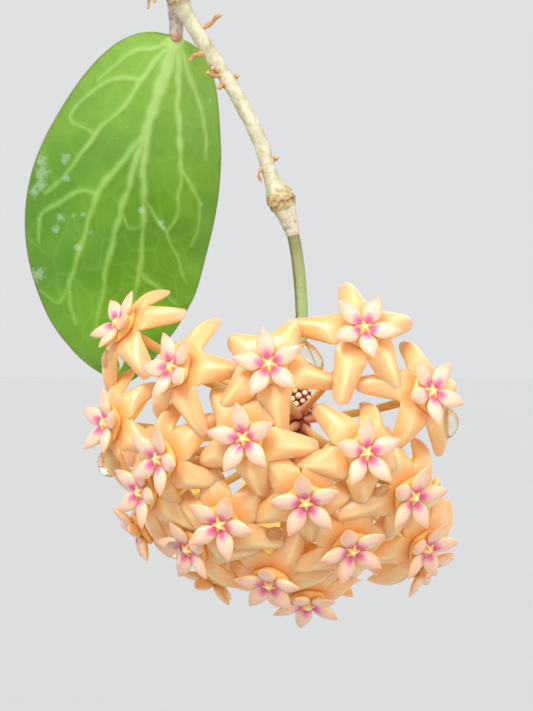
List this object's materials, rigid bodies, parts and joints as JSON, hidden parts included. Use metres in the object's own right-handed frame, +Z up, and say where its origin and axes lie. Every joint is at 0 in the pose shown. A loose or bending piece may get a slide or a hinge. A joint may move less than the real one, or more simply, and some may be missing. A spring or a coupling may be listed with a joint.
{
  "type": "potted hoya in a hanging pot",
  "caption": "Trailing wax plant in a plain clay hanging pot, with an old woody vine that hangs over the rim down to a large leaf and a ball of orange flowers with pink crowns.",
  "frame": {"origin": "the point under the top of the hook where the hook bears on its rail", "axes": "+Z up along the hook's shank, -Y towards the front, where the vine hangs over the rim, +X to the right seen from the front"},
  "size_m": [0.1756, 0.185, 0.3329],
  "materials": {
    "clay": "unglazed, dry",
    "mix": "rough bark pieces",
    "wire": "galvanised",
    "bark": "dry, corky",
    "leaf": "waxy, semi-gloss",
    "peduncle": "matt, green",
    "petal": "waxy, semi-gloss",
    "corona": "waxy, glossy",
    "nectar": "clear liquid"
  },
  "bodies": {
    "root": {"umbel": "petal", "corona_01": "corona", "corona_02": "corona", "corona_03": "corona", "corona_04": "corona", "corona_05": "corona", "corona_06": "corona", "corona_07": "corona", "corona_08": "corona", "corona_09": "corona", "corona_10": "corona", "corona_11": "corona", "corona_12": "corona", "corona_13": "corona", "corona_14": "corona", "corona_15": "corona", "corona_16": "corona", "corona_17": "corona", "corona_18": "corona", "corona_19": "corona", "corona_20": "corona", "corona_21": "corona", "corona_22": "corona", "corona_23": "corona", "corona_24": "corona", "corona_25": "corona", "corona_26": "corona", "peduncle": "peduncle", "main_vine": "bark", "upright_vine": "bark", "back_vine": "bark", "leaf_beside_flowers": "leaf", "leaf_arch_left": "leaf", "leaf_arch_right": "leaf", "leaf_fall_left": "leaf", "leaf_fall_right": "leaf", "leaf_low_left": "leaf", "leaf_low_right": "leaf", "leaf_high_left": "leaf", "leaf_high_right": "leaf", "leaf_back_arch_left": "leaf", "leaf_back_arch_right": "leaf", "leaf_back_fall_left": "leaf", "leaf_back_fall_right": "leaf", "pot": "clay", "potting_mix": "mix", "hook": "wire", "ferrule": "wire", "hanger_wire_1": "wire", "hanger_wire_2": "wire", "hanger_wire_3": "wire"}
  },
  "joints": []
}
